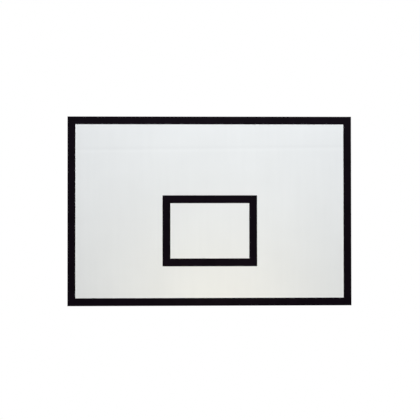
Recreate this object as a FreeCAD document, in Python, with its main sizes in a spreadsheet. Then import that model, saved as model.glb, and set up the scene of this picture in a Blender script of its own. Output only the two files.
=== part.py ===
import FreeCAD, Part
import Sketcher
import os
from collections import namedtuple
from math import cos, pi, radians, sin

# A basketball backboard: a plywood board with white laminate on both sides, black line
# markings and a black edge band, bolted from behind to a welded steel tube frame so that
# the playing face shows no fixings. Four angle brackets on the frame bolt to the support.
# The origin is the centre of the four support bolts, on the plane where the brackets meet
# the support. X runs along the board, +Z is up, and the playing face looks along -Y.

# Driving dimensions in millimetres: name, size, meaning
SIZES = [
    ("board_width", 1800, "outside width of the board"),
    ("board_height", 1200, "outside height of the board"),
    ("core_thickness", 18, "plywood core"),
    ("laminate_thickness", 1, "laminate sheet on each side of the core"),
    ("edge_band_thickness", 2, "band glued round the edge of the board"),
    ("edge_band_radius", 1.5, "rounding of the band's outer edges"),
    ("line_width", 50, "width of every marking line"),
    ("film_thickness", 0.2, "film that the lines are cut from"),
    ("target_width", 600, "outside width of the inner rectangle"),
    ("target_height", 450, "outside height of the inner rectangle"),
    ("ring_level", 300, "lower edge up to the ring, level with the top of the target's lower line"),
    ("ring_drop", 65, "ring level down to the centre of the ring's bolts"),
    ("ring_bolt_spacing_x", 110, "ring bolts, side to side"),
    ("ring_bolt_spacing_z", 90, "ring bolts, top to bottom"),
    ("ring_bolt_hole", 11, "clearance hole for the ring's bolts"),
    ("ring_plate_width", 200, "plate behind the board that the ring's bolts clamp"),
    ("ring_plate_rise", 75, "centre of the ring's bolts up to the ring rail, where the plate ends"),
    ("ring_plate_thickness", 8, "thickness of that plate"),
    ("frame_inset", 60, "edge of the board to the outer side of the frame"),
    ("tube_size", 40, "outside of the square frame tube"),
    ("tube_wall", 2, "wall of the frame tube"),
    ("tube_radius", 4, "outer corner radius of the frame tube"),
    ("vent_hole", 10, "vent for hot-dip galvanising"),
    ("vent_offset", 30, "vent from the end of a tube's bore"),
    ("mount_spacing_x", 500, "support bolts, side to side"),
    ("mount_hole", 13, "clearance hole for the support bolts"),
    ("bracket_drop", 165, "top rail down to the middle of the upper brackets"),
    ("bracket_standoff", 10, "back of the frame to the support"),
    ("bracket_hole_offset", 35, "side of the upright to the support bolt"),
    ("bracket_leg", 60, "leg of the bracket that lies on the support"),
    ("bracket_length", 80, "bracket, top to bottom"),
    ("bracket_thickness", 5, "plate that the bracket is bent from"),
    ("bracket_bend", 5, "inside radius of the bend"),
    ("bracket_corner", 8, "rounding of the bracket's free corners"),
    ("bracket_front_gap", 4, "bracket's side leg to the board"),
    ("bracket_bolt", 10, "bolt that holds a bracket to its upright"),
    ("bracket_bolt_inset", 15, "end of a bracket to its nearest bolt"),
    ("bracket_bolt_flats", 16, "head and nut of that bolt, across flats"),
    ("bracket_bolt_head", 6.4, "head height of that bolt"),
    ("bracket_bolt_end", 3, "bolt end past its nut"),
    ("bracket_nut", 8.4, "nut height"),
    ("bracket_washer", 20, "outside of the washer under head and nut"),
    ("panel_bolt", 8, "bolt that holds the board to the frame"),
    ("panel_bolt_flats", 13, "head of that bolt, across flats"),
    ("panel_bolt_head", 5.3, "head height of that bolt"),
    ("panel_washer", 24, "outside of the washer under that head"),
    ("washer_thickness", 2, "every washer"),
    ("hole_play", 1, "clearance hole over its bolt"),
    ("washer_play", 0.5, "washer bore over its bolt"),
    ("thread_play", 0.2, "threaded bore over its bolt"),
    ("insert_wall", 1.9, "wall of the threaded inserts in the back of the board"),
    ("insert_cover", 5, "plywood left in front of an insert"),
    ("insert_end_gap", 1, "end of the bolt to the end of its insert"),
    ("insert_play", 0.2, "insert's bore in the board over the insert"),
    ("rail_bolt_inset", 140, "end of the top or bottom rail to its outer panel bolts"),
    ("ring_rail_bolt_inset", 135, "end of the ring rail to its panel bolts"),
]

doc = FreeCAD.newDocument("backboard")
dim = doc.addObject("Spreadsheet::Sheet", "dim")
for line, (name, size, meaning) in enumerate(SIZES, start=1):
    dim.set(f"A{line}", name)
    dim.set(f"B{line}", str(size))
    dim.setAlias(f"B{line}", name)
    dim.set(f"C{line}", meaning)
doc.recompute()

# Planes and levels that several pieces share, as expressions of the sheet's cells. The
# upper brackets hang from the top rail and the lower ones lie level with the ring's bolts.
FRAME_BACK = "(-dim.bracket_standoff)"
FRAME_AXIS = f"({FRAME_BACK} - dim.tube_size / 2)"
BOARD_BACK = f"({FRAME_BACK} - dim.tube_size)"
CORE_BACK = f"({BOARD_BACK} - dim.laminate_thickness)"
CORE_FRONT = f"({CORE_BACK} - dim.core_thickness)"
FACE = f"({CORE_FRONT} - dim.laminate_thickness)"
BOARD_THICKNESS = "(dim.core_thickness + 2 * dim.laminate_thickness)"
RING_RISE = "(dim.ring_level - dim.ring_drop)"
FRAME_TO_EDGE = "(dim.frame_inset + dim.tube_size)"
MOUNT_SPACING_Z = f"(dim.board_height - {FRAME_TO_EDGE} - dim.bracket_drop - {RING_RISE})"
RING_Z = f"(-{MOUNT_SPACING_Z} / 2)"
LOWER_EDGE = f"({RING_Z} - {RING_RISE})"
UPPER_EDGE = f"({LOWER_EDGE} + dim.board_height)"
BOARD_Z = f"({LOWER_EDGE} + dim.board_height / 2)"
TARGET_Z = f"({LOWER_EDGE} + dim.ring_level - dim.line_width + dim.target_height / 2)"
SIDE_EDGE = "(dim.board_width / 2)"
BRACKET_X = "(dim.mount_spacing_x / 2 + dim.bracket_hole_offset)"
UPRIGHT_X = f"({BRACKET_X} + dim.tube_size / 2)"
SIDES = (-1, 1)

# Small rounds that repeat are drawn as polygons, with more sides where they show, and bolt
# heads and nuts have six flats
HIDDEN_FACETS = 8
SHOWN_FACETS = 12
HEX_FACETS = 6

# Coordinates and direction cosines within this of each other count as the same
TOLERANCE = 0.01


# Sketches and features
def place(piece, x="0", y="0", z="0", turn=0, axis=FreeCAD.Vector(0, 1, 0)):
    """Turns a piece by fixed degrees about an axis and ties its position to the sheet."""
    piece.Placement = FreeCAD.Placement(FreeCAD.Vector(), FreeCAD.Rotation(axis, turn))
    for letter, expression in zip("xyz", (x, y, z)):
        piece.setExpression(f"Placement.Base.{letter}", expression)
    return piece


def new_body(label, **where):
    return place(doc.addObject("PartDesign::Body", label), **where)


def sketch_on(body, role, name):
    """An empty sketch on one of the body's own origin planes."""
    sketch = body.newObject("Sketcher::SketchObject", f"{body.Label}_{name}")
    plane = next(f for f in body.Origin.OriginFeatures if f.Role == role)
    sketch.AttachmentSupport = [(plane, "")]
    sketch.MapMode = "FlatFace"
    return sketch


def dimension(sketch, kind, *where, size):
    """A sketch dimension that follows an expression of the sheet from the next recompute."""
    index = sketch.addConstraint(Sketcher.Constraint(kind, *where, 1.0))
    sketch.setExpression(f"Constraints[{index}]", size)


def polygon(sketch, corners):
    """A closed outline, drawn small and then pulled to corners given as pairs of expressions."""
    first = sketch.GeometryCount
    count = len(corners)
    turns = [2 * pi * k / count for k in range(count)]
    points = [FreeCAD.Vector(cos(turn), sin(turn), 0) for turn in turns]
    for k in range(count):
        sketch.addGeometry(Part.LineSegment(points[k], points[(k + 1) % count]))
    for k, (x, y) in enumerate(corners):
        following = first + (k + 1) % count
        sketch.addConstraint(Sketcher.Constraint("Coincident", first + k, 2, following, 1))
        dimension(sketch, "DistanceX", first + k, 1, size=x)
        dimension(sketch, "DistanceY", first + k, 1, size=y)


def rounds(sketch, centres, diameter, sides, around=False):
    """Polygons that stand for small circles: within them for a solid, around them for a hole."""
    reach = 0.5 / cos(pi / sides) if around else 0.5
    turns = [2 * pi * k / sides for k in range(sides)]
    for x, y in centres:
        rights = [f"{x} + {reach * cos(turn):.9f} * {diameter}" for turn in turns]
        rises = [f"{y} + {reach * sin(turn):.9f} * {diameter}" for turn in turns]
        polygon(sketch, list(zip(rights, rises)))


def circles(sketch, centres, diameter):
    for x, y in centres:
        index = sketch.addGeometry(Part.Circle())
        dimension(sketch, "Diameter", index, size=diameter)
        dimension(sketch, "DistanceX", index, 3, size=x)
        dimension(sketch, "DistanceY", index, 3, size=y)


def rectangle(width, height):
    """Corners of a rectangle centred on the sketch."""
    signs = ((-1, -1), (1, -1), (1, 1), (-1, 1))
    return [(f"{i} * ({width}) / 2", f"{j} * ({height}) / 2") for i, j in signs]


def pad(body, sketch, length, side="One side", backwards=False):
    feature = body.newObject("PartDesign::Pad", f"{sketch.Label}_pad")
    feature.Profile = sketch
    feature.SideType = side
    feature.Reversed = backwards
    feature.setExpression("Length", length)
    doc.recompute()


def pocket(body, sketch, depth=None, backwards=False):
    """Cuts a sketch to a depth, or right through on both sides of it."""
    before = body.Shape.Volume
    feature = body.newObject("PartDesign::Pocket", f"{sketch.Label}_pocket")
    feature.Profile = sketch
    feature.Reversed = backwards
    if depth is None:
        feature.Type = "ThroughAll"
        feature.SideType = "Symmetric"
    else:
        feature.setExpression("Length", depth)
    doc.recompute()
    if not body.Shape.Volume < before:
        raise RuntimeError(f"{feature.Label} cuts nothing")


def fillet(body, radius, wanted):
    """Rounds the edges that pass a test, which gets each edge and the body's box."""
    base = body.Tip
    box = base.Shape.BoundBox
    edges = [f"Edge{k}" for k, edge in enumerate(base.Shape.Edges, start=1) if wanted(edge, box)]
    feature = body.newObject("PartDesign::Fillet", f"{body.Label}_fillet")
    feature.Base = (base, edges)
    feature.setExpression("Radius", radius)
    doc.recompute()


def group(label, piece, places):
    """One compound of links to a piece, each place a set of arguments for place()."""
    links = []
    for where in places:
        link = doc.addObject("App::Link", f"{piece.Label}_link")
        link.LinkedObject = piece
        links.append(place(link, **where))
    compound = doc.addObject("Part::Compound", label)
    compound.Links = links
    doc.recompute()
    return compound


def same(a, b):
    return abs(a - b) < TOLERANCE


def runs_along(edge, letter):
    """Whether an edge is a straight line along the axis x, y or z."""
    return isinstance(edge.Curve, Part.Line) and same(abs(getattr(edge.Curve.Direction, letter)), 1)


def lies_at(edge, **where):
    """Whether the middle of an edge has the given coordinates."""
    middle = edge.CenterOfMass
    return all(same(getattr(middle, letter), at) for letter, at in where.items())


# Frame members: each runs along its own X and is turned about Y into place, so a turn of
# 0 is the top rail, 90 the right stile, 180 the bottom rail and -90 the left stile.
Member = namedtuple("Member", "label turn length x z bolts vents mitred")


def spread(length, inset, count):
    """Evenly spaced offsets about the middle of a length, the outer ones at an inset from its ends."""
    shares = [2 * k / (count - 1) - 1 for k in range(count)]
    return [f"({share} * ({length} / 2 - {inset}))" for share in shares]


def along(member, offset):
    """The x and z of a point at an offset along a member from its middle."""
    across = round(cos(radians(member.turn)))
    down = round(sin(radians(member.turn)))
    return f"({member.x} + {across} * {offset})", f"({member.z} - {down} * {offset})"


def outer_member(label, turn, length, x, z, bolts, vents):
    return Member(label, turn, length, x, z, bolts, vents, True)


def inner_member(label, turn, length, x, z, bolts):
    return Member(label, turn, length, x, z, bolts, spread(length, "dim.vent_offset", 2), False)


FRAME_WIDTH = "(dim.board_width - 2 * dim.frame_inset)"
FRAME_HEIGHT = "(dim.board_height - 2 * dim.frame_inset)"
STILE_X = f"(({FRAME_WIDTH} - dim.tube_size) / 2)"
TOP_RAIL_Z = f"({UPPER_EDGE} - dim.frame_inset - dim.tube_size / 2)"
BOTTOM_RAIL_Z = f"({LOWER_EDGE} + dim.frame_inset + dim.tube_size / 2)"
UPRIGHT_LENGTH = f"({FRAME_HEIGHT} - 2 * dim.tube_size)"
SIDE_RAIL_LENGTH = f"({STILE_X} - {UPRIGHT_X} - dim.tube_size)"
SIDE_RAIL_X = f"(({STILE_X} + {UPRIGHT_X}) / 2)"
CROSS_RAIL_LENGTH = f"(2 * {UPRIGHT_X} - dim.tube_size)"
RING_RAIL_Z = f"({RING_Z} + dim.ring_plate_rise + dim.tube_size / 2)"
RAIL_BOLTS = spread(FRAME_WIDTH, "dim.rail_bolt_inset", 4)
RAIL_VENTS = spread(FRAME_WIDTH, "(dim.tube_size + dim.vent_offset)", 2)
RING_RAIL_BOLTS = spread(CROSS_RAIL_LENGTH, "dim.ring_rail_bolt_inset", 2)
MIDDLE_BOLT = ["0"]

UPRIGHTS = [
    inner_member("frame_left_upright", -90, UPRIGHT_LENGTH, f"(-{UPRIGHT_X})", BOARD_Z, MIDDLE_BOLT),
    inner_member("frame_right_upright", 90, UPRIGHT_LENGTH, UPRIGHT_X, BOARD_Z, MIDDLE_BOLT),
]
MEMBERS = [
    outer_member("frame_top_rail", 0, FRAME_WIDTH, "0", TOP_RAIL_Z, RAIL_BOLTS, RAIL_VENTS),
    outer_member("frame_bottom_rail", 180, FRAME_WIDTH, "0", BOTTOM_RAIL_Z, RAIL_BOLTS, RAIL_VENTS),
    outer_member("frame_left_stile", -90, FRAME_HEIGHT, f"(-{STILE_X})", BOARD_Z, MIDDLE_BOLT, []),
    outer_member("frame_right_stile", 90, FRAME_HEIGHT, STILE_X, BOARD_Z, MIDDLE_BOLT, []),
    *UPRIGHTS,
    inner_member("frame_left_side_rail", 0, SIDE_RAIL_LENGTH, f"(-{SIDE_RAIL_X})", BOARD_Z, []),
    inner_member("frame_right_side_rail", 0, SIDE_RAIL_LENGTH, SIDE_RAIL_X, BOARD_Z, []),
    inner_member("frame_centre_rail", 0, CROSS_RAIL_LENGTH, "0", BOARD_Z, []),
    inner_member("frame_ring_rail", 0, CROSS_RAIL_LENGTH, "0", RING_RAIL_Z, RING_RAIL_BOLTS),
]
PANEL_BOLT_PLACES = [along(member, offset) for member in MEMBERS for offset in member.bolts]

PANEL_BOLT_HOLE = "(dim.panel_bolt + dim.hole_play)"
BRACKET_BOLT_HOLE = "(dim.bracket_bolt + dim.hole_play)"
BRACKET_HEIGHTS = spread(MOUNT_SPACING_Z, "0", 2)
BRACKET_BOLT_OFFSETS = spread("dim.bracket_length", "dim.bracket_bolt_inset", 2)
BRACKET_BOLT_HEIGHTS = [
    f"({height} + {offset})" for height in BRACKET_HEIGHTS for offset in BRACKET_BOLT_OFFSETS
]


# The board: a plywood core between two laminates, with threaded inserts let into its back
SHEET_WIDTH = "(dim.board_width - 2 * dim.edge_band_thickness)"
SHEET_HEIGHT = "(dim.board_height - 2 * dim.edge_band_thickness)"
INSERT_DIAMETER = "(dim.panel_bolt + dim.thread_play + 2 * dim.insert_wall)"
INSERT_LENGTH = "(dim.laminate_thickness + dim.core_thickness - dim.insert_cover)"
ROUNDING_SHARE = 0.9  # the most of its thickness that an edge band's rounding may take


def plug(label, diameter, length):
    """A tool for a hidden bore, pointing forwards from the plane of the bore's mouth."""
    body = new_body(label)
    section = sketch_on(body, "XZ_Plane", "section")
    rounds(section, [("0", "0")], diameter, HIDDEN_FACETS, around=True)
    pad(body, section, length)
    return body


def at_panel_bolts(y):
    return [{"x": x, "y": y, "z": z} for x, z in PANEL_BOLT_PLACES]


def board_sheet(label, back, thickness):
    """A sheet as large as the core, with its back face on the given plane."""
    body = new_body(label, y=back, z=BOARD_Z)
    outline = sketch_on(body, "XZ_Plane", "outline")
    polygon(outline, rectangle(SHEET_WIDTH, SHEET_HEIGHT))
    pad(body, outline, thickness)
    return body


def bored(label, sheet, bores):
    """A sheet with bores cut out of its back."""
    feature = doc.addObject("Part::Cut", label)
    feature.Base = sheet
    feature.Tool = bores
    doc.recompute()
    if not feature.Shape.Volume < sheet.Shape.Volume:
        raise RuntimeError(f"{label} has no bores")
    return feature


def edge_band(label, turn, length, x, z):
    """A band on one edge of the board, its outer face at the given place."""
    body = new_body(label, x=x, y=BOARD_BACK, z=z, turn=turn)
    outline = sketch_on(body, "XZ_Plane", "outline")
    half = f"{length} / 2"
    inner = "-dim.edge_band_thickness"
    polygon(outline, [(f"-{half}", inner), (half, inner), (half, "0"), (f"-{half}", "0")])
    pad(body, outline, BOARD_THICKNESS)
    radius = f"min(dim.edge_band_radius; {ROUNDING_SHARE} * dim.edge_band_thickness)"
    fillet(body, radius, lambda edge, box: runs_along(edge, "x") and lies_at(edge, z=box.ZMax))
    return body


insert_bore = plug("insert_bore", f"({INSERT_DIAMETER} + dim.insert_play)", INSERT_LENGTH)
insert_bores = group("insert_bores", insert_bore, at_panel_bolts(BOARD_BACK))
core_sheet = board_sheet("core_sheet", CORE_BACK, "dim.core_thickness")
core = bored("panel_core", core_sheet, insert_bores)
back_sheet = board_sheet("back_sheet", BOARD_BACK, "dim.laminate_thickness")
back_laminate = bored("back_laminate", back_sheet, insert_bores)
face_laminate = board_sheet("face_laminate", CORE_FRONT, "dim.laminate_thickness")
edge_bands = [
    edge_band("edge_band_top", 0, "dim.board_width", "0", UPPER_EDGE),
    edge_band("edge_band_bottom", 180, "dim.board_width", "0", LOWER_EDGE),
    edge_band("edge_band_left", -90, SHEET_HEIGHT, f"-{SIDE_EDGE}", BOARD_Z),
    edge_band("edge_band_right", 90, SHEET_HEIGHT, SIDE_EDGE, BOARD_Z),
]


# The markings: film strips with mitred corners, round the edge and round the target
def line_strip(label, turn, length, width, x, z):
    """A strip whose outer edge, the longer one, lies at the given place."""
    body = new_body(label, x=x, y=FACE, z=z, turn=turn)
    outline = sketch_on(body, "XZ_Plane", "outline")
    half = f"({length} / 2)"
    inner = f"({half} - {width})"
    low = f"-{width}"
    polygon(outline, [(f"-{half}", "0"), (f"-{inner}", low), (inner, low), (half, "0")])
    pad(body, outline, "dim.film_thickness")
    return body


def line_rectangle(name, width, height, line_width, middle):
    """The four strips of a marked rectangle."""
    rise = f"{height} / 2"
    reach = f"{width} / 2"
    return [
        line_strip(f"{name}_line_top", 0, width, line_width, "0", f"{middle} + {rise}"),
        line_strip(f"{name}_line_bottom", 180, width, line_width, "0", f"{middle} - {rise}"),
        line_strip(f"{name}_line_left", -90, height, line_width, f"-{reach}", middle),
        line_strip(f"{name}_line_right", 90, height, line_width, reach, middle),
    ]


BORDER_LINE = "(dim.line_width - dim.edge_band_thickness)"
border_lines = line_rectangle("border", SHEET_WIDTH, SHEET_HEIGHT, BORDER_LINE, BOARD_Z)
target_lines = line_rectangle(
    "target", "dim.target_width", "dim.target_height", "dim.line_width", TARGET_Z
)


# The frame: square tubes, mitred round the outside and butted inside it
def tube_corner(edge, box):
    return runs_along(edge, "x") and same(abs(edge.CenterOfMass.y), box.YMax)


def cut_mitres(body, length):
    """Cuts both ends at 45 degrees, so that the side towards +Z stays the longer one."""
    ends = sketch_on(body, "XZ_Plane", "mitres")
    top = "dim.tube_size / 2"
    low = "-dim.tube_size / 2"
    for side in SIDES:
        tip = f"{side} * {length} / 2"
        root = f"{side} * ({length} / 2 - dim.tube_size)"
        polygon(ends, [(tip, top), (tip, low), (root, low)])
    pocket(body, ends)


def drill(body, role, name, offsets, diameter, sides, depth=None):
    """Round holes on the middle line of a tube's side."""
    holes = sketch_on(body, role, name)
    rounds(holes, [(offset, "0") for offset in offsets], diameter, sides, around=True)
    pocket(body, holes, depth)


def frame_tube(member):
    body = new_body(member.label, x=member.x, y=FRAME_AXIS, z=member.z, turn=member.turn)
    bore = "(dim.tube_size - 2 * dim.tube_wall)"
    section = sketch_on(body, "YZ_Plane", "section")
    polygon(section, rectangle("dim.tube_size", "dim.tube_size"))
    polygon(section, rectangle(bore, bore))
    pad(body, section, member.length, side="Symmetric")
    fillet(body, "dim.tube_radius", tube_corner)
    if member.mitred:
        cut_mitres(body, member.length)
    if member.bolts:
        drill(body, "XZ_Plane", "bolt_holes", member.bolts, PANEL_BOLT_HOLE, HIDDEN_FACETS)
    if member.vents:
        drill(body, "XZ_Plane", "vents", member.vents, "dim.vent_hole", SHOWN_FACETS, "dim.tube_size")
    if member in UPRIGHTS:
        turn = round(sin(radians(member.turn)))
        offsets = [f"{turn} * ({member.z} - {height})" for height in BRACKET_BOLT_HEIGHTS]
        drill(body, "XY_Plane", "bracket_holes", offsets, BRACKET_BOLT_HOLE, HIDDEN_FACETS)
    return body


tubes = [frame_tube(member) for member in MEMBERS]


# The ring plate: welded between the bottom rail and the ring rail, against the board
def ring_plate():
    body = new_body("ring_plate", y=BOARD_BACK, z=RING_Z)
    outline = sketch_on(body, "XZ_Plane", "outline")
    half = "dim.ring_plate_width / 2"
    low = f"({FRAME_TO_EDGE} - {RING_RISE})"
    top = "dim.ring_plate_rise"
    polygon(outline, [(f"-{half}", low), (half, low), (half, top), (f"-{half}", top)])
    pad(body, outline, "dim.ring_plate_thickness", backwards=True)
    holes = sketch_on(body, "XZ_Plane", "ring_holes")
    centres = rectangle("dim.ring_bolt_spacing_x", "dim.ring_bolt_spacing_z")
    circles(holes, centres, "dim.ring_bolt_hole")
    pocket(body, holes)
    return body


plate = ring_plate()


# The brackets: bent angles, one leg on the upright's inner side and one on the support
def inner_bend(edge, box):
    inside = -dim.bracket_thickness
    return runs_along(edge, "z") and lies_at(edge, x=inside, y=inside)


def outer_bend(edge, box):
    return runs_along(edge, "z") and lies_at(edge, x=box.XMax, y=box.YMax)


def free_corner(edge, box):
    on_rear_leg = runs_along(edge, "y") and lies_at(edge, x=box.XMin)
    on_side_leg = runs_along(edge, "x") and lies_at(edge, y=box.YMin)
    return on_rear_leg or on_side_leg


def bracket(label, side, height):
    """A bracket on the left (-1) or right (1) upright, the outside of its bend at its origin."""
    body = new_body(label, x=f"{side} * {BRACKET_X}", z=height, turn=0 if side > 0 else 180)
    profile = sketch_on(body, "XY_Plane", "profile")
    leg_end = "-dim.bracket_leg"
    inside = "-dim.bracket_thickness"
    front = f"({BOARD_BACK} + dim.bracket_front_gap)"
    rear_leg = [("0", "0"), (leg_end, "0"), (leg_end, inside), (inside, inside)]
    side_leg = [(inside, front), ("0", front)]
    polygon(profile, rear_leg + side_leg)
    pad(body, profile, "dim.bracket_length", side="Symmetric")
    fillet(body, "dim.bracket_bend", inner_bend)
    fillet(body, "dim.bracket_bend + dim.bracket_thickness", outer_bend)
    fillet(body, "dim.bracket_corner", free_corner)
    support_hole = sketch_on(body, "XZ_Plane", "support_hole")
    circles(support_hole, [("-dim.bracket_hole_offset", "0")], "dim.mount_hole")
    pocket(body, support_hole)
    bolt_holes = sketch_on(body, "YZ_Plane", "bolt_holes")
    centres = [(FRAME_AXIS, offset) for offset in BRACKET_BOLT_OFFSETS]
    rounds(bolt_holes, centres, BRACKET_BOLT_HOLE, HIDDEN_FACETS, around=True)
    pocket(body, bolt_holes)
    return body


brackets = [
    bracket(f"bracket_{level}_{hand}", side, height)
    for level, height in zip(("lower", "upper"), BRACKET_HEIGHTS)
    for hand, side in zip(("left", "right"), SIDES)
]


# Fasteners: each is made once, with its axis along Y and its seat at its origin, and is
# repeated by links. Heads, nuts and washers rise towards +Y and shanks point along -Y.
MIDDLE = [("0", "0")]


def bolt(label, diameter, flats, head_height, length):
    body = new_body(label)
    head = sketch_on(body, "XZ_Plane", "head")
    rounds(head, MIDDLE, flats, HEX_FACETS, around=True)
    pad(body, head, head_height, backwards=True)
    shank = sketch_on(body, "XZ_Plane", "shank")
    rounds(shank, MIDDLE, diameter, HIDDEN_FACETS)
    pad(body, shank, length)
    return body


def ring(label, outside, sides, bore, height):
    """A washer, nut or insert, raised from its seat. A nut's outside is its size across flats."""
    body = new_body(label)
    section = sketch_on(body, "XZ_Plane", "section")
    rounds(section, MIDDLE, outside, sides, around=sides == HEX_FACETS)
    rounds(section, MIDDLE, bore, HIDDEN_FACETS, around=True)
    pad(body, section, height, backwards=True)
    return body


# A panel bolt runs from the back of the frame through its tube into an insert
PANEL_BOLT_LENGTH = f"(dim.washer_thickness + dim.tube_size + {INSERT_LENGTH} - dim.insert_end_gap)"
PANEL_HEAD_SEAT = f"({FRAME_BACK} + dim.washer_thickness)"
PANEL_WASHER_BORE = "(dim.panel_bolt + dim.washer_play)"
INSERT_THREAD = "(dim.panel_bolt + dim.thread_play)"
INSERT_SEAT = f"({BOARD_BACK} - {INSERT_LENGTH})"
panel_bolt = bolt(
    "panel_bolt", "dim.panel_bolt", "dim.panel_bolt_flats", "dim.panel_bolt_head", PANEL_BOLT_LENGTH
)
panel_washer = ring(
    "panel_washer", "dim.panel_washer", SHOWN_FACETS, PANEL_WASHER_BORE, "dim.washer_thickness"
)
panel_insert = ring("panel_insert", INSERT_DIAMETER, HIDDEN_FACETS, INSERT_THREAD, INSERT_LENGTH)
panel_fasteners = [
    group("panel_bolts", panel_bolt, at_panel_bolts(PANEL_HEAD_SEAT)),
    group("panel_washers", panel_washer, at_panel_bolts(FRAME_BACK)),
    group("panel_inserts", panel_insert, at_panel_bolts(INSERT_SEAT)),
]


# A bracket bolt runs inwards through its upright: head outside, bracket and nut inside
def at_bracket_bolts(distance, facing):
    """Places on both uprights at a distance from the middle, facing outwards (1) or inwards (-1)."""
    return [
        {
            "x": f"{side} * {distance}",
            "y": FRAME_AXIS,
            "z": height,
            "turn": -90 * side * facing,
            "axis": FreeCAD.Vector(0, 0, 1),
        }
        for side in SIDES
        for height in BRACKET_BOLT_HEIGHTS
    ]


UPRIGHT_OUTSIDE = f"({UPRIGHT_X} + dim.tube_size / 2)"
BRACKET_INSIDE = f"({BRACKET_X} - dim.bracket_thickness)"
HEAD_SEAT = f"({UPRIGHT_OUTSIDE} + dim.washer_thickness)"
NUT_SEAT = f"({BRACKET_INSIDE} - dim.washer_thickness)"
BRACKET_WASHER_BORE = "(dim.bracket_bolt + dim.washer_play)"
NUT_THREAD = "(dim.bracket_bolt + dim.thread_play)"
BRACKET_BOLT_LENGTH = f"({HEAD_SEAT} - {NUT_SEAT} + dim.bracket_nut + dim.bracket_bolt_end)"
bracket_bolt = bolt(
    "bracket_bolt",
    "dim.bracket_bolt",
    "dim.bracket_bolt_flats",
    "dim.bracket_bolt_head",
    BRACKET_BOLT_LENGTH,
)
bracket_washer = ring(
    "bracket_washer", "dim.bracket_washer", SHOWN_FACETS, BRACKET_WASHER_BORE, "dim.washer_thickness"
)
bracket_nut = ring("bracket_nut", "dim.bracket_bolt_flats", HEX_FACETS, NUT_THREAD, "dim.bracket_nut")
washer_places = at_bracket_bolts(UPRIGHT_OUTSIDE, 1) + at_bracket_bolts(BRACKET_INSIDE, -1)
bracket_fasteners = [
    group("bracket_bolts", bracket_bolt, at_bracket_bolts(HEAD_SEAT, 1)),
    group("bracket_washers", bracket_washer, washer_places),
    group("bracket_nuts", bracket_nut, at_bracket_bolts(NUT_SEAT, -1)),
]

# Every piece is checked before any is written
pieces = [
    core,
    back_laminate,
    face_laminate,
    *edge_bands,
    *border_lines,
    *target_lines,
    *tubes,
    plate,
    *brackets,
    *panel_fasteners,
    *bracket_fasteners,
]
doc.recompute()
failed = [item.Label for item in doc.Objects if {"Invalid", "Error"} & set(item.State)]
failed += [piece.Label for piece in pieces if piece.Shape.isNull() or not piece.Shape.isValid()]
if failed:
    raise RuntimeError(f"these objects failed: {failed}")
os.makedirs("parts", exist_ok=True)
for piece in pieces:
    piece.Shape.exportStep(f"parts/{piece.Label}.step")
print(f"{len(pieces)} pieces, {sum(len(piece.Shape.Solids) for piece in pieces)} solids")
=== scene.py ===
import random
from math import cos, pi, radians, sin, sqrt, tan

import bmesh
import bpy
from mathutils import Matrix, Vector


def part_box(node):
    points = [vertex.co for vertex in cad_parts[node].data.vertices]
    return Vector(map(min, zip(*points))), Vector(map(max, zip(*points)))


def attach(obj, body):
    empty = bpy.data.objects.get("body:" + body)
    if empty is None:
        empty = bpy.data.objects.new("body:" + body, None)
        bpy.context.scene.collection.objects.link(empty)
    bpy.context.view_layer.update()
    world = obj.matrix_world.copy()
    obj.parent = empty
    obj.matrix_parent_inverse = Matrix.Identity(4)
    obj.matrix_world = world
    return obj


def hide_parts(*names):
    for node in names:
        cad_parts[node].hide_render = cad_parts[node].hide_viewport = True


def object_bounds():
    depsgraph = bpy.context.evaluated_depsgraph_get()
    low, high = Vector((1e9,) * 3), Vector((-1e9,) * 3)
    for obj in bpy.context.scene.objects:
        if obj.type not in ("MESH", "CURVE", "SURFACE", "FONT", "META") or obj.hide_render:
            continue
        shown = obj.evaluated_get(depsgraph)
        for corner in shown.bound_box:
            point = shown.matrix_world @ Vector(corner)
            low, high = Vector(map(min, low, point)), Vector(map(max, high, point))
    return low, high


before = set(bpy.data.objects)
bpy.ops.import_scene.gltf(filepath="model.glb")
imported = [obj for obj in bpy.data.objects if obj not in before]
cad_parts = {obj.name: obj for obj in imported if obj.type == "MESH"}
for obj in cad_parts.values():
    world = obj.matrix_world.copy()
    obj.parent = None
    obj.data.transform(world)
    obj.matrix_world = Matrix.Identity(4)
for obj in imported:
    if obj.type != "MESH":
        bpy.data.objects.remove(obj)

# A basketball backboard for a wall or a post. The script follows the shop's order: the board
# is pressed, edged and marked, the steel frame is welded and galvanised, and the two are
# bolted together. Lengths are in metres, with MM for what a drawing gives in millimetres.
cad_low, cad_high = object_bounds()


# The plywood core: thirteen thin birch plies, glued crosswise under heat and sawn to size.
# Laminate and edge bands cover it, so its layers show only where it is sawn or bored.
MM = 0.001
PLIES = 13
GRAIN_WIDTH = 1.2 * MM
GRAIN_STRETCH = 60
GRAIN_DEPTH = 0.05 * MM
BIRCH_ROUGHNESS = 0.62
BIRCH_LIGHT = (0.62, 0.47, 0.31, 1)
BIRCH_GRAIN = (0.50, 0.35, 0.21, 1)
BIRCH_END_GRAIN = (0.40, 0.27, 0.16, 1)


class Nodes:
    """A tree of nodes, whose inputs take plain values or the outputs of other nodes."""

    def __init__(self, tree):
        self.tree = tree

    def feed(self, node, inputs):
        for socket, value in inputs.items():
            if isinstance(value, bpy.types.NodeSocket):
                self.tree.links.new(value, node.inputs[socket])
            else:
                node.inputs[socket].default_value = value

    def add(self, kind, inputs=None, **options):
        node = self.tree.nodes.new(f"ShaderNode{kind}")
        for option, value in options.items():
            setattr(node, option, value)
        self.feed(node, inputs or {})
        return node

    def maths(self, operation, a, b=0.0):
        return self.add("Math", {0: a, 1: b}, operation=operation).outputs[0]

    def spread(self, value, low, high, start=0.3, end=0.7):
        """Spreads what lies from start to end, as most of a noise does, over low to high."""
        inputs = {"Value": value, "From Min": start, "From Max": end, "To Min": low, "To Max": high}
        return self.add("MapRange", inputs).outputs[0]


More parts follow.
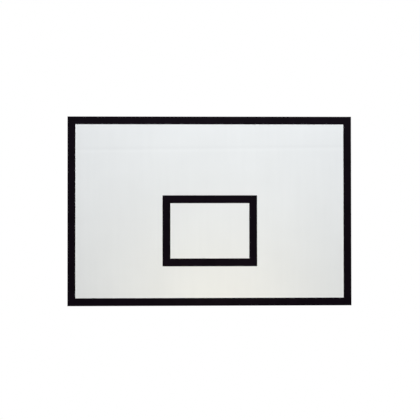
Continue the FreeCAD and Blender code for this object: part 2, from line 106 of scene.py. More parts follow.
class Finish(Nodes):
    """A surface finish: one shader with its even values, and the nodes that vary the others."""

    def __init__(self, name, even):
        self.material = bpy.data.materials.new(name)
        self.material.use_nodes = True
        super().__init__(self.material.node_tree)
        self.shader = self.tree.nodes["Principled BSDF"]
        self.feed(self.shader, even)
        self.place = self.add("TexCoord").outputs["Object"]

    def axes(self):
        return self.add("SeparateXYZ", {0: self.place}).outputs

    def near(self, value, middle, reach):
        """1 where a value is at the middle, falling to 0 at a reach to either side."""
        away = self.maths("ABSOLUTE", self.maths("SUBTRACT", value, middle))
        return self.spread(away, 1, 0, 0, reach)

    def noise(self, size, detail=2, stretch=(1, 1, 1), place=None):
        """Soft blotches of about a size, longer along an axis whose stretch is larger."""
        scale = [1 / (size * s) for s in stretch]
        spot = self.add("Mapping", {"Vector": place or self.place, "Scale": scale}).outputs[0]
        return self.add("TexNoise", {"Vector": spot, "Scale": 1.0, "Detail": detail}).outputs["Fac"]

    def mix(self, share, a, b, blend="MIX"):
        """A mix of two colours, which the node takes at its inputs 6 and 7 and gives at 2."""
        node = self.add("Mix", {0: share, 6: a, 7: b}, data_type="RGBA", blend_type=blend)
        return node.outputs[2]

    def shade(self, colour, amount):
        """A colour made lighter or darker by a grey amount, where 1 leaves it as it is."""
        return self.mix(1.0, colour, amount, "MULTIPLY")

    def look(self, height, depth, **sockets):
        """Joins colour and gloss to the shader, and relief as deep as depth from a height."""
        names = {"colour": "Base Color", "roughness": "Roughness", "metallic": "Metallic"}
        self.feed(self.shader, {names[key]: value for key, value in sockets.items()})
        bump = self.add("Bump", {"Height": height, "Distance": depth, "Strength": 1.0})
        self.feed(self.shader, {"Normal": bump.outputs[0]})

    def onto(self, *nodes):
        for name in nodes:
            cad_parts[name].data.materials[0] = self.material


plywood = Finish("birch_plywood", {"Roughness": BIRCH_ROUGHNESS})
core_low, core_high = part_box("panel_core")
ply_thickness = (core_high.y - core_low.y) / PLIES
into_core = plywood.maths("SUBTRACT", core_high.y, plywood.axes()["Y"])
ply_number = plywood.maths("FLOOR", plywood.maths("DIVIDE", into_core, ply_thickness))
is_cross_ply = plywood.maths("MODULO", ply_number, 2)
long_grain = plywood.noise(GRAIN_WIDTH, detail=4, stretch=(GRAIN_STRETCH, 1, 1))
cross_grain = plywood.noise(GRAIN_WIDTH, detail=4, stretch=(1, 1, GRAIN_STRETCH))
long_ply = plywood.mix(plywood.spread(long_grain, 0, 1), BIRCH_LIGHT, BIRCH_GRAIN)
cross_ply = plywood.mix(plywood.spread(cross_grain, 0, 1), BIRCH_GRAIN, BIRCH_END_GRAIN)
plywood.look(
    colour=plywood.mix(is_cross_ply, long_ply, cross_ply),
    height=plywood.maths("ADD", long_grain, cross_grain),
    depth=GRAIN_DEPTH,
)
plywood.onto("panel_core")


# The threaded inserts: turned steel sleeves, zinc plated and screwed into blind bores in the
# back of the core, so that no fixing comes through the playing face.
ZINC_PALE = (0.60, 0.61, 0.62, 1)
ZINC_BLUE = (0.42, 0.45, 0.50, 1)
ZINC_CLOUD = 9 * MM
ZINC_ROUGHNESS = (0.24, 0.42)
TURNING_MARK = 0.35 * MM
TURNING_DEPTH = 0.02 * MM

zinc_plating = Finish("zinc_plating", {"Metallic": 1.0})
clouds = zinc_plating.noise(ZINC_CLOUD, detail=3)
turning_marks = zinc_plating.noise(TURNING_MARK)
zinc_plating.look(
    colour=zinc_plating.mix(zinc_plating.spread(clouds, 0, 1), ZINC_PALE, ZINC_BLUE),
    roughness=zinc_plating.spread(turning_marks, *ZINC_ROUGHNESS),
    height=turning_marks,
    depth=TURNING_DEPTH,
)
zinc_plating.onto("panel_inserts")


# The playing face: a 1 mm sheet of pressed white laminate, glued over the whole front. It has
# a satin pearl texture, a slow drift of tone and one faint press line across its upper part,
# a shallow groove drawn only as painted shade above it and a painted highlight below it.
FACE_WHITE = (0.76, 0.77, 0.763, 1)
FACE_GLOSS = 0.3
FACE_ROUGHNESS = (0.4, 0.54)
PEARL = 1.1 * MM
PEARL_DEPTH = 0.1 * MM
DRIFT = 0.3
DRIFT_TONES = (0.984, 1.012)
STREAK_WIDTH = 30 * MM
STREAK_STRETCH = 14
STREAK_TONES = (0.992, 1.004)
PRESS_LINE_HEIGHT = 410.5 * MM
PRESS_LINE_SLOPE = 0.0097
PRESS_LINE_WIDTH = 17 * MM
PAINTED_GROOVE_HIGHLIGHT = 0.02
PAINTED_GROOVE_SHADE = 0.024

face = Finish("white_laminate_face", {"Specular IOR Level": FACE_GLOSS})
along_x, _, along_z = face.axes()
line_rise = face.maths("MULTIPLY", along_x, PRESS_LINE_SLOPE)
above_line = face.maths("SUBTRACT", face.maths("SUBTRACT", along_z, line_rise), PRESS_LINE_HEIGHT)
# The press line has no relief: a band of painted shade above it and a band of painted highlight below it
# stand for a shallow groove lit from above.
painted_shade_above = face.near(above_line, PRESS_LINE_WIDTH / 2, PRESS_LINE_WIDTH)
painted_highlight_below = face.near(above_line, -PRESS_LINE_WIDTH / 2, PRESS_LINE_WIDTH)
lighter = face.spread(painted_highlight_below, 1, 1 + PAINTED_GROOVE_HIGHLIGHT, 0, 1)
painted_groove_shading = face.maths("SUBTRACT", lighter, face.spread(painted_shade_above, 0, PAINTED_GROOVE_SHADE, 0, 1))
tone_drift = face.spread(face.noise(DRIFT), *DRIFT_TONES)
streaks = face.noise(STREAK_WIDTH, detail=3, stretch=(1, 1, STREAK_STRETCH))
wiped_streaks = face.spread(streaks, *STREAK_TONES)
pearl = face.noise(PEARL, detail=3)
face_colour = face.shade(face.shade(FACE_WHITE, tone_drift), wiped_streaks)
face.look(
    # The colour carries the press line's painted shade and painted highlight.
    colour=face.shade(face_colour, painted_groove_shading),
    roughness=face.spread(pearl, *FACE_ROUGHNESS),
    height=pearl,
    depth=PEARL_DEPTH,
)
face.onto("face_laminate")


# The backing sheet: the same laminate without the good side, glued to the back so that the
# board stays flat. It is a duller grey white, with the faint lines of the sanding belt.
BACK_GREY = (0.63, 0.618, 0.598, 1)
BACK_DUSTY = (0.56, 0.545, 0.52, 1)
BACK_GLOSS = 0.3
BACK_ROUGHNESS = (0.48, 0.62)
BELT_LINE = 0.8 * MM
BELT_STRETCH = 220
BELT_TONES = (0.97, 1.02)
BELT_DEPTH = 0.03 * MM
DUST_PATCH = 0.22
DUST_RANGE = (0.4, 0.75)

backing = Finish("laminate_backing", {"Specular IOR Level": BACK_GLOSS})
belt_lines = backing.noise(BELT_LINE, detail=3, stretch=(BELT_STRETCH, 1, 1))
dust = backing.spread(backing.noise(DUST_PATCH, detail=4), 0, 1, *DUST_RANGE)
dusty_grey = backing.mix(dust, BACK_GREY, BACK_DUSTY)
backing.look(
    colour=backing.shade(dusty_grey, backing.spread(belt_lines, *BELT_TONES)),
    roughness=backing.spread(belt_lines, *BACK_ROUGHNESS),
    height=belt_lines,
    depth=BELT_DEPTH,
)
backing.onto("back_laminate")


# The edge bands: 2 mm black plastic, glued round the sawn edge and rounded over by a trimmer.
# Handling has scuffed their corners a little grey.
BAND_BLACK = (0.006, 0.005, 0.006, 1)
BAND_GLOSS = 0.2
BAND_ROUGHNESS = (0.42, 0.58)
TRIMMER_MARK = 0.7 * MM
TRIMMER_DEPTH = 0.03 * MM
SCUFFED_GREY = (0.035, 0.034, 0.033, 1)
SCUFF_SIZE = 7 * MM
SCUFF_RANGE = (0.58, 0.78)
SCUFF_REACH = 2.5 * MM

band = Finish("black_edge_band", {"Specular IOR Level": BAND_GLOSS})
band_low, band_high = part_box("edge_band_top")
through_board = band.axes()["Y"]
at_front_corner = band.near(through_board, band_low.y, SCUFF_REACH)
at_back_corner = band.near(through_board, band_high.y, SCUFF_REACH)
at_a_corner = band.maths("MAXIMUM", at_front_corner, at_back_corner)
scuffs = band.spread(band.noise(SCUFF_SIZE, detail=5), 0, 1, *SCUFF_RANGE)
trimmer_marks = band.noise(TRIMMER_MARK)
band.look(
    colour=band.mix(band.maths("MULTIPLY", scuffs, at_a_corner), BAND_BLACK, SCUFFED_GREY),
    roughness=band.spread(trimmer_marks, *BAND_ROUGHNESS),
    height=trimmer_marks,
    depth=TRIMMER_DEPTH,
)
band.onto("edge_band_top", "edge_band_bottom", "edge_band_left", "edge_band_right")


# The markings: a line round the edge and the inner rectangle, all 50 mm wide, cut from matt
# black film with mitred corners and rolled onto the face.
FILM_BLACK = (0.0013, 0.0002, 0.0016, 1)
FILM_DUSTY = (0.0031, 0.0011, 0.0035, 1)
FILM_GLOSS = 0.03
FILM_ROUGHNESS = (0.44, 0.6)
FILM_DUST_PATCH = 0.09
FILM_GRAIN = 0.9 * MM
FILM_GRAIN_DEPTH = 0.02 * MM

film = Finish("black_line_film", {"Specular IOR Level": FILM_GLOSS})
settled_dust = film.spread(film.noise(FILM_DUST_PATCH, detail=5), 0, 1)
film_grain = film.noise(FILM_GRAIN, detail=3)
film.look(
    colour=film.mix(settled_dust, FILM_BLACK, FILM_DUSTY),
    roughness=film.spread(film_grain, *FILM_ROUGHNESS),
    height=film_grain,
    depth=FILM_GRAIN_DEPTH,
)
for marking in ("border", "target"):
    film.onto(*(f"{marking}_line_{side}" for side in ("top", "bottom", "left", "right")))


# The frame tubes: 40 mm square steel tube, mitred round the outside and butted inside, with
# vent holes. Hot-dip galvanising leaves zinc crystals, duller where the zinc has weathered.
SPANGLE = 11 * MM
SWAY = 0.35
SWAY_WAVE = 0.5
FEATHER = 0.9 * MM
FEATHER_STRETCH = 9
FEATHER_SHARE = 0.45
FEATHER_DEPTH = 0.03 * MM
WEATHERED_PATCH = 0.16
WEATHERED_RANGE = (0.42, 0.68)
WEATHERED_MOST = 0.8
GALVANISED_DARK = (0.265, 0.28, 0.30, 1)
GALVANISED_LIGHT = (0.46, 0.475, 0.49, 1)
WEATHERED_ZINC = (0.36, 0.37, 0.38, 1)
GALVANISED_GLOSS = 0.5
CRYSTAL_ROUGHNESS = (0.3, 0.48)
WEATHERED_ROUGHNESS = (0, 0.14)
WEATHERED_METAL = (0.95, 0.7)
OUTER_TUBES = ("frame_top_rail", "frame_bottom_rail", "frame_left_stile", "frame_right_stile")
UPRIGHTS = ("frame_left_upright", "frame_right_upright")
CROSS_RAILS = ("frame_left_side_rail", "frame_right_side_rail", "frame_centre_rail", "frame_ring_rail")


def galvanising(name, spangle):
    """Zinc crystals of about a size, each with its own tone and direction of feathering."""
    zinc = Finish(name, {"Specular IOR Level": GALVANISED_GLOSS})
    waves = {"Vector": zinc.place, "Scale": 1 / (SWAY_WAVE * spangle), "Detail": 3}
    wander = zinc.add("TexNoise", waves).outputs["Color"]
    sway = {0: wander, 1: [SWAY * spangle] * 3, 2: zinc.place}
    swayed = zinc.add("VectorMath", sway, operation="MULTIPLY_ADD").outputs[0]
    crystals = zinc.add("TexVoronoi", {"Vector": swayed, "Scale": 1 / spangle}).outputs["Color"]
    crystal_tone, crystal_gloss, _ = zinc.add("SeparateColor", {0: crystals}).outputs
    full_turns = zinc.add("VectorMath", {0: crystals, 1: [2 * pi] * 3}, operation="MULTIPLY").outputs[0]
    crystal_frame = {"Vector": zinc.place, "Rotation": full_turns}
    turned = zinc.add("VectorRotate", crystal_frame, rotation_type="EULER_XYZ").outputs[0]
    feathering = zinc.noise(FEATHER, detail=3, stretch=(FEATHER_STRETCH, 1, 1), place=turned)
    feathers = zinc.spread(feathering, 0, 1)
    tones = {"Factor": FEATHER_SHARE, "A": crystal_tone, "B": feathers}
    tone = zinc.add("Mix", tones).outputs[0]
    patches = zinc.noise(WEATHERED_PATCH, detail=5)
    weathered = zinc.spread(patches, 0, WEATHERED_MOST, *WEATHERED_RANGE)
    crystal_roughness = zinc.spread(crystal_gloss, *CRYSTAL_ROUGHNESS, 0, 1)
    weathered_roughness = zinc.spread(weathered, *WEATHERED_ROUGHNESS, 0, 1)
    zinc.look(
        colour=zinc.mix(weathered, zinc.mix(tone, GALVANISED_DARK, GALVANISED_LIGHT), WEATHERED_ZINC),
        roughness=zinc.maths("ADD", crystal_roughness, weathered_roughness),
        metallic=zinc.spread(weathered, *WEATHERED_METAL, 0, 1),
        height=feathers,
        depth=FEATHER_DEPTH,
    )
    return zinc


tube_zinc = galvanising("galvanised_tube", SPANGLE)
tube_zinc.onto(*OUTER_TUBES, *UPRIGHTS, *CROSS_RAILS)


# The frame welds: short rippled beads at every joint, on the back and in the corners. The
# front is ground flush, because the board lies against it, and the zinc covers them dully.
RIPPLE = 2.2 * MM
RINGS_PER_RIPPLE = 4
RIPPLE_RELIEF = 0.05
SWELL = (0.95, 1.05)
CRESCENT = 0.9 * MM
BLUNT_END = 0.245
BEAD_SIDES = 12
MITRE_BEAD = (3.0 * MM, 0.8 * MM)
CORNER_BEAD = (4.4 * MM, 2.0 * MM)
CORNER_LIFT = 0.8 * MM
CORNER_MARGIN = 4.4 * MM
GROOVE_BEAD = (4.4 * MM, 1.9 * MM)
GROOVE_MIDDLE = 1.6 * MM
GROOVE_DEPTH = 1.2 * MM
SHARPEST_SMOOTH = radians(35)
BEAD_DULL = (0.28, 0.29, 0.305, 1)
BEAD_BRIGHT = (0.41, 0.42, 0.43, 1)
BEAD_METAL = 0.85
BEAD_ROUGHNESS = (0.4, 0.58)
BEAD_CLOUD = 3 * MM
BEAD_GRAIN = 0.5 * MM
BEAD_GRAIN_DEPTH = 0.05 * MM
BACKWARDS = Vector((0, 1, 0))
shop = random.Random(7)
frame_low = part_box("frame_bottom_rail")[0]
top_rail_low, frame_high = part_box("frame_top_rail")
tube_size = frame_high.z - top_rail_low.z

bead_zinc = Finish("galvanised_weld", {"Metallic": BEAD_METAL})
bead_clouds = bead_zinc.noise(BEAD_CLOUD, detail=4)
bead_zinc.look(
    colour=bead_zinc.mix(bead_zinc.spread(bead_clouds, 0, 1), BEAD_DULL, BEAD_BRIGHT),
    roughness=bead_zinc.spread(bead_clouds, *BEAD_ROUGHNESS),
    height=bead_zinc.noise(BEAD_GRAIN),
    depth=BEAD_GRAIN_DEPTH,
)


def skin(mesh, rings, place=Matrix(), closed=False):
    """Faces from ring to ring of points; the ends are capped unless the last meets the first."""
    loops = [[mesh.verts.new(place @ Vector(point)) for point in ring] for ring in rings]
    pairs = list(zip(loops, loops[1:]))
    if closed:
        pairs.append((loops[-1], loops[0]))
    else:
        mesh.faces.new(loops[0])
        mesh.faces.new(loops[-1])
    for near, far in pairs:
        for k in range(len(near)):
            following = (k + 1) % len(near)
            mesh.faces.new((near[k], near[following], far[following], far[k]))


def bead(mesh, start, end, out, section):
    """A weld bead between two points, half sunk in the steel, its crown towards out and ahead."""
    half_width, half_height = section
    run = end - start
    along = run.normalized()
    across = along.cross(out).normalized()
    crown = across.cross(along)
    steps = round(run.length / RIPPLE * RINGS_PER_RIPPLE)
    rings = []
    for step in range(steps + 1):
        if step % RINGS_PER_RIPPLE == 0:
            swell = shop.uniform(*SWELL)
        travelled = run.length * step / steps
        from_end = min(travelled, run.length - travelled, half_width) / half_width
        taper = sqrt(max(BLUNT_END ** 2, 1 - (1 - from_end) ** 2))
        size = taper * swell * (1 + RIPPLE_RELIEF * cos(2 * pi * travelled / RIPPLE))
        ring = []
        for side in range(BEAD_SIDES):
            turn = 2 * pi * side / BEAD_SIDES
            lead = CRESCENT * taper * (sin(turn) ** 2 - 0.5)
            offset = across * half_width * cos(turn) + crown * half_height * sin(turn)
            ring.append(start + along * (travelled + lead) + offset * size)
        rings.append(ring)
    skin(mesh, rings)


def into_scene(name, data):
    """Puts a mesh, a lamp or a camera into the scene as an object."""
    thing = bpy.data.objects.new(name, data)
    bpy.context.scene.collection.objects.link(thing)
    return thing


def shown(name, mesh, finish, slot, *nodes):
    """Makes a mesh a piece of the object, standing for CAD nodes where it names any."""
    bmesh.ops.recalc_face_normals(mesh, faces=mesh.faces)
    data = bpy.data.meshes.new(name)
    mesh.to_mesh(data)
    mesh.free()
    data.materials.append(finish.material)
    data.shade_smooth()
    data.set_sharp_from_angle(angle=SHARPEST_SMOOTH)
    piece = into_scene(name, data)
    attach(piece, "root")
    if nodes:
        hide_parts(*nodes)


def corner_bead(mesh, corner, out, section):
    """A bead along a corner of the frame, ending a margin short of its front and its back."""
    front = corner + BACKWARDS * (frame_low.y + CORNER_MARGIN)
    back = corner + BACKWARDS * (frame_high.y - CORNER_MARGIN)
    bead(mesh, front, back, out, section)


def butt_joint(mesh, node, axis):
    """Beads at both ends of a tube that runs along X (0) or Z (2) up to the sides of others."""
    low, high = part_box(node)
    cross = 2 - axis
    for end, facing in ((low, -1), (high, 1)):
        for side, away in ((low, -1), (high, 1)):
            bisector = Vector()
            bisector[axis] = -facing
            bisector[cross] = away
            bisector.normalize()
            corner = Vector()
            corner[axis] = end[axis]
            corner[cross] = side[cross]
            corner_bead(mesh, corner + bisector * CORNER_LIFT, bisector, CORNER_BEAD)
        groove = BACKWARDS * (high.y - GROOVE_DEPTH)
        groove[axis] = end[axis] + facing * GROOVE_MIDDLE
        near, far = groove.copy(), groove.copy()
        near[cross], far[cross] = low[cross], high[cross]
        bead(mesh, near, far, BACKWARDS, GROOVE_BEAD)


mitre_welds = bmesh.new()
seam_level = BACKWARDS * frame_high.y
for x, right in ((frame_low.x, -1), (frame_high.x, 1)):
    for z, up in ((frame_low.z, -1), (frame_high.z, 1)):
        diagonal = Vector((right, 0, up))
        inward = -diagonal.normalized()
        outside = Vector((x, 0, z))
        inside = outside - diagonal * tube_size
        bead(mitre_welds, inside + seam_level, outside + seam_level, BACKWARDS, MITRE_BEAD)
        corner_bead(mitre_welds, inside + inward * CORNER_LIFT, inward, CORNER_BEAD)
        corner_bead(mitre_welds, outside + inward * CORNER_LIFT, -inward, MITRE_BEAD)
shown("mitre_welds", mitre_welds, bead_zinc, "galvanised_tube")

upright_welds = bmesh.new()
for upright in UPRIGHTS:
    butt_joint(upright_welds, upright, 2)
shown("upright_welds", upright_welds, bead_zinc, "galvanised_tube")

rail_welds = bmesh.new()
for rail in CROSS_RAILS:
    butt_joint(rail_welds, rail, 0)
shown("rail_welds", rail_welds, bead_zinc, "galvanised_tube")


# The ring plate: 8 mm steel with four holes for a ring, stitch welded between the bottom rail
# and the ring rail, flat against the board. It is cut from sheet, so its crystals are larger.
PLATE_SPANGLE = 15 * MM
STITCHES = 3
STITCH_LENGTH = 48 * MM

plate_zinc = galvanising("galvanised_plate", PLATE_SPANGLE)
plate_zinc.onto("ring_plate")
plate_welds = bmesh.new()
plate_low, plate_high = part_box("ring_plate")
stitch_room = (plate_high.x - plate_low.x) / STITCHES
half_stitch = Vector((STITCH_LENGTH / 2, 0, 0))
for z, inward in ((plate_low.z, 1), (plate_high.z, -1)):
    out = Vector((0, 1, inward)).normalized()
    for stitch in range(STITCHES):
        corner = Vector((plate_low.x + stitch_room * (stitch + 0.5), plate_high.y, z))
        middle = corner + out * CORNER_LIFT
        bead(plate_welds, middle - half_stitch, middle + half_stitch, out, CORNER_BEAD)
shown("plate_welds", plate_welds, bead_zinc, "galvanised_plate")


# The brackets: four angles bent from 5 mm plate, drilled and galvanised like the frame. One
# leg lies on an upright, the other takes the bolt to the post or wall.
for level in ("lower", "upper"):
    plate_zinc.onto(f"bracket_{level}_left", f"bracket_{level}_right")


# The panel bolts: M8 hexagon bolts with wide washers, zinc plated, put in from behind through
# the tubes into the inserts. Each stops at its own turn of the head.
PANEL_BOLT = {
    "diameter": 8 * MM,
    "pitch": 1.25 * MM,
    "flats": 13 * MM,
    "head": 5.3 * MM,
    "thread": 22 * MM,
}
PANEL_WASHER_BORE = 8.5 * MM
WASHER_EDGE = 0.25 * MM
THREAD_ROWS = 4
THREAD_DEPTH = 0.61
POINT_SHARE = 0.78
HEAD_CHAMFER = radians(30)
HEAD_TOP = 0.95
HEAD_DISH = 0.35 * MM
DISH_RIM = 0.78
DISH_FLOOR = 0.5
ROUND_STEPS = 24
TURNS = [2 * pi * k / ROUND_STEPS for k in range(ROUND_STEPS)]
SAME_POINT = 0.001 * MM


def solids_in(node):
    """The lowest and highest corner of each separate solid in a CAD node."""
    mesh = bmesh.new()
    mesh.from_mesh(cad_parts[node].data)
    bmesh.ops.remove_doubles(mesh, verts=mesh.verts, dist=SAME_POINT)
    left = {vert.index: vert for vert in mesh.verts}
    boxes = []
    while left:
        reached = [left.pop(min(left))]
        for vert in reached:
            for edge in vert.link_edges:
                other = edge.other_vert(vert)
                if left.pop(other.index, None):
                    reached.append(other)
        spans = list(zip(*(vert.co for vert in reached)))
        boxes.append((Vector(map(min, spans)), Vector(map(max, spans))))
    mesh.free()
    return boxes


def ring_at(height, radius):
    return [(radius * cos(turn), radius * sin(turn), height) for turn in TURNS]


def hexagon_at(height, flats, drop=0.0, top=0.0):
    """A six-sided ring, let down at its corners by a chamfer that starts at the radius top."""
    ring = []
    for turn in TURNS:
        radius = flats / 2 / cos(turn % (pi / 3) - pi / 6)
        ring.append((radius * cos(turn), radius * sin(turn), height - drop * max(0.0, radius - top)))
    return ring


def thread_rings(start, end, diameter, pitch):
    """Rings down a screw thread, whose crest winds once round for each pitch."""
    rows = round((start - end) / pitch * THREAD_ROWS)
    rings = []
    for row in range(rows + 1):
        height = start + (end - start) * row / rows
        ring = []
        for turn in TURNS:
            phase = (height / pitch - turn / (2 * pi)) % 1
            radius = diameter / 2 - THREAD_DEPTH * pitch * abs(2 * phase - 1)
            ring.append((radius * cos(turn), radius * sin(turn), height))
        rings.append(ring)
    return rings


def bolt(mesh, place, length, diameter, pitch, flats, head, thread):
    """A hexagon bolt with its seat at its own origin, its head upwards and its shank down."""
    top = HEAD_TOP * flats / 2
    rings = [
        ring_at(head - HEAD_DISH, DISH_FLOOR * top),
        ring_at(head, DISH_RIM * top),
        ring_at(head, top),
        hexagon_at(head, flats, tan(HEAD_CHAMFER), top),
        hexagon_at(HEAD_DISH, flats),
        ring_at(HEAD_DISH, top),
        ring_at(0, top),
        ring_at(0, diameter / 2),
        ring_at(thread - length, diameter / 2),
        *thread_rings(thread - length - pitch / 2, pitch - length, diameter, pitch),
        ring_at(-length, POINT_SHARE * diameter / 2),
    ]
    skin(mesh, rings, place)


def washer(mesh, place, outside, bore, thickness):
    """A punched washer, its edges broken a little by tumbling."""
    section = (
        (0, bore / 2),
        (0, outside / 2 - WASHER_EDGE),
        (WASHER_EDGE, outside / 2),
        (thickness - WASHER_EDGE, outside / 2),
        (thickness, outside / 2 - WASHER_EDGE),
        (thickness, bore / 2),
    )
    skin(mesh, [ring_at(height, radius) for height, radius in section], place, closed=True)


def standing(point, direction):
    """A place at a point whose upright lies along a direction, at a turn of its own."""
    upright = direction.to_track_quat("Z", "Y").to_matrix().to_4x4()
    return Matrix.Translation(point) @ upright @ Matrix.Rotation(shop.uniform(0, 2 * pi), 4, "Z")


panel_bolts = bmesh.new()
for low, high in solids_in("panel_bolts"):
    seat = (low + high) / 2
    seat.y = high.y - PANEL_BOLT["head"]
    bolt(panel_bolts, standing(seat, BACKWARDS), seat.y - low.y, **PANEL_BOLT)
shown("panel_bolt_set", panel_bolts, zinc_plating, "zinc_plate", "panel_bolts")

panel_washers = bmesh.new()
for low, high in solids_in("panel_washers"):
    foot = (low + high) / 2
    foot.y = low.y
    washer(panel_washers, standing(foot, BACKWARDS), high.x - low.x, PANEL_WASHER_BORE, high.y - low.y)
shown("panel_washer_set", panel_washers, zinc_plating, "zinc_plate", "panel_washers")


# The bracket bolts: M10 bolts through upright and bracket, heads outside and nuts inside, with
# a washer under each. All are zinc plated, and the thread shows past the nut.
BRACKET_BOLT = {
    "diameter": 10 * MM,
    "pitch": 1.5 * MM,
    "flats": 16 * MM,
    "head": 6.4 * MM,
    "thread": 26 * MM,
}
BRACKET_WASHER_BORE = 10.5 * MM
NUT_BORE = 10.1 * MM
NUT_MOUTH = 0.7 * MM
ACROSS = Vector((1, 0, 0))


def nut(mesh, place, flats, bore, height):
    """A hexagon nut with both ends and both mouths of its thread chamfered."""
    top = HEAD_TOP * flats / 2
    chamfer = tan(HEAD_CHAMFER)
    rings = [
        ring_at(0, bore / 2 + NUT_MOUTH),
        ring_at(0, top),
        hexagon_at(0, flats, -chamfer, top),
        hexagon_at(height, flats, chamfer, top),
        ring_at(height, top),
        ring_at(height, bore / 2 + NUT_MOUTH),
        ring_at(height - NUT_MOUTH, bore / 2),
        ring_at(NUT_MOUTH, bore / 2),
    ]
    skin(mesh, rings, place, closed=True)


bracket_bolts = bmesh.new()
for low, high in solids_in("bracket_bolts"):
    outwards = ACROSS if low.x > 0 else -ACROSS
    head_end = high.x if low.x > 0 else low.x
    head = BRACKET_BOLT["head"]
    seat = (low + high) / 2
    seat.x = head_end - outwards.x * head
    bolt(bracket_bolts, standing(seat, outwards), high.x - low.x - head, **BRACKET_BOLT)
shown("bracket_bolt_set", bracket_bolts, zinc_plating, "zinc_plate", "bracket_bolts")

bracket_washers = bmesh.new()
for low, high in solids_in("bracket_washers"):
    foot = (low + high) / 2
    foot.x = low.x
    washer(bracket_washers, standing(foot, ACROSS), high.y - low.y, BRACKET_WASHER_BORE, high.x - low.x)
shown("bracket_washer_set", bracket_washers, zinc_plating, "zinc_plate", "bracket_washers")

bracket_nuts = bmesh.new()
for low, high in solids_in("bracket_nuts"):
    foot = (low + high) / 2
    foot.x = low.x
    nut(bracket_nuts, standing(foot, ACROSS), BRACKET_BOLT["flats"], NUT_BORE, high.x - low.x)
shown("bracket_nut_set", bracket_nuts, zinc_plating, "zinc_plate", "bracket_nuts")


# The floor: a pale studio floor, far enough under the hung board to look at it from beneath.
# It takes the board's shadow and fades to plain white towards its rim.
FLOOR_DROP = 4.0
FLOOR_RADIUS = 8.0
FLOOR_SIDES = 96
FLOOR_PALE = (0.86, 0.86, 0.85, 1)
FLOOR_ROUGHNESS = 0.7
FADE_START = 1.5
FADE_END = 6.4
FADE_SHARES = (0.6, 1.0)
WHITE = (1, 1, 1, 1)


def seen_directly(nodes):
    """1 for rays from the camera, and for those that mirror or pass on what the camera sees."""
    rays = nodes.add("LightPath").outputs
    camera_or_gloss = nodes.maths("MAXIMUM", rays["Is Camera Ray"], rays["Is Glossy Ray"])
    return nodes.maths("MAXIMUM", camera_or_gloss, rays["Is Transmission Ray"])


floor_mesh = bmesh.new()
bmesh.ops.create_circle(floor_mesh, cap_ends=True, segments=FLOOR_SIDES, radius=FLOOR_RADIUS)
floor_data = bpy.data.meshes.new("studio_floor")
floor_mesh.to_mesh(floor_data)
floor_mesh.free()
floor = into_scene("studio_floor", floor_data)
floor.location.z = cad_low.z - FLOOR_DROP
floor_paint = Finish("pale_floor", {"Base Color": FLOOR_PALE, "Roughness": FLOOR_ROUGHNESS})
from_middle = floor_paint.add("VectorMath", {0: floor_paint.place}, operation="LENGTH").outputs["Value"]
fading = floor_paint.spread(from_middle, *FADE_SHARES, FADE_START, FADE_END)
to_white = floor_paint.maths("MULTIPLY", fading, seen_directly(floor_paint))
painted = floor_paint.shader.outputs[0]
plain_white = floor_paint.add("Emission", {"Color": WHITE, "Strength": 1.0}).outputs[0]
floor_look = floor_paint.add("MixShader", {0: to_white, 1: painted, 2: plain_white}).outputs[0]
floor_paint.feed(floor_paint.tree.nodes["Material Output"], {"Surface": floor_look})
floor_data.materials.append(floor_paint.material)


# The studio: a white room, brighter behind the board, with a soft key lamp high on the right, a
# low warm lamp that stands for light off a wooden floor, and a wide soft lamp behind. What the
# camera sees of it, straight or mirrored in the steel, is plain white.
LIGHT_IN_FRONT = 0.29
LIGHT_BEHIND = 0.85
LIGHT_CHANGE = 0.3
KEY_LAMP = {"place": (0.39, -4.18, 2.8), "size": (2.8, 1.8), "watts": 204, "colour": (0.915, 0.948, 1.0)}
WARM_LAMP = {"place": (0.06, -1.0, -0.72), "size": (0.6, 0.3), "watts": 2.3, "colour": (1.0, 0.83, 0.46)}
BACK_LAMP = {"place": (-1.5, 4.0, 2.2), "size": (4.0, 3.0), "watts": 45, "colour": (1, 1, 1)}
board_middle = (cad_low + cad_high) / 2
lower_edge = Vector((0, cad_low.y, cad_low.z))

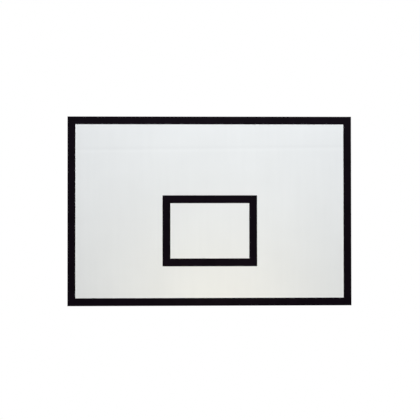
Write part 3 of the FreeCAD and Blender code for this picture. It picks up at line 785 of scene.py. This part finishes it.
world = bpy.data.worlds.new("studio_room")
bpy.context.scene.world = world
world.use_nodes = True
world.node_tree.nodes.clear()
room = Nodes(world.node_tree)
backdrop = room.add("Background", {"Color": WHITE, "Strength": 1.0}).outputs[0]
direction = room.add("TexCoord").outputs["Generated"]
behind = room.add("SeparateXYZ", {0: direction}).outputs["Y"]
room_light = room.spread(behind, LIGHT_IN_FRONT, LIGHT_BEHIND, 0, LIGHT_CHANGE)
room_glow = room.add("Background", {"Color": WHITE, "Strength": room_light}).outputs[0]
room_look = room.add("MixShader", {0: seen_directly(room), 1: room_glow, 2: backdrop}).outputs[0]
room.add("OutputWorld", {"Surface": room_look})


def lamp(name, aim, place, size, watts, colour):
    """A soft rectangular lamp, which the camera doesn't see."""
    light = bpy.data.lights.new(name, "AREA")
    light.shape = "RECTANGLE"
    light.size, light.size_y = size
    light.energy = watts
    light.color = colour
    stand = into_scene(name, light)
    stand.location = place
    stand.rotation_euler = (aim - Vector(place)).to_track_quat("-Z", "Y").to_euler()
    stand.visible_camera = False


lamp("key_lamp", board_middle, **KEY_LAMP)
lamp("low_warm_lamp", lower_edge, **WARM_LAMP)
lamp("back_lamp", board_middle, **BACK_LAMP)


# The camera stands five metres in front of the face, a little left of its middle and nearly
# level, with a short telephoto lens. It has no shift and no blur.
CAMERA_DISTANCE = 5.0
CAMERA_RIGHT = -0.097
CAMERA_UP = -0.026
AIM_RIGHT = 0.001
AIM_UP = 0.0218
CAMERA_ROLL = radians(-0.063)
SENSOR_MM = 36
LENS_MM = 67.62

camera_place = Vector((CAMERA_RIGHT, cad_low.y - CAMERA_DISTANCE, CAMERA_UP))
camera_aim = Vector((AIM_RIGHT, cad_low.y, AIM_UP))
level_look = (camera_aim - camera_place).to_track_quat("-Z", "Y").to_matrix()
camera_data = bpy.data.cameras.new("photo_camera")
camera_data.sensor_width = SENSOR_MM
camera_data.lens = LENS_MM
camera = into_scene("photo_camera", camera_data)
camera.location = camera_place
camera.rotation_euler = (level_look @ Matrix.Rotation(CAMERA_ROLL, 3, "Z")).to_euler()
bpy.context.scene.camera = camera
bpy.context.scene.view_settings.view_transform = "Standard"
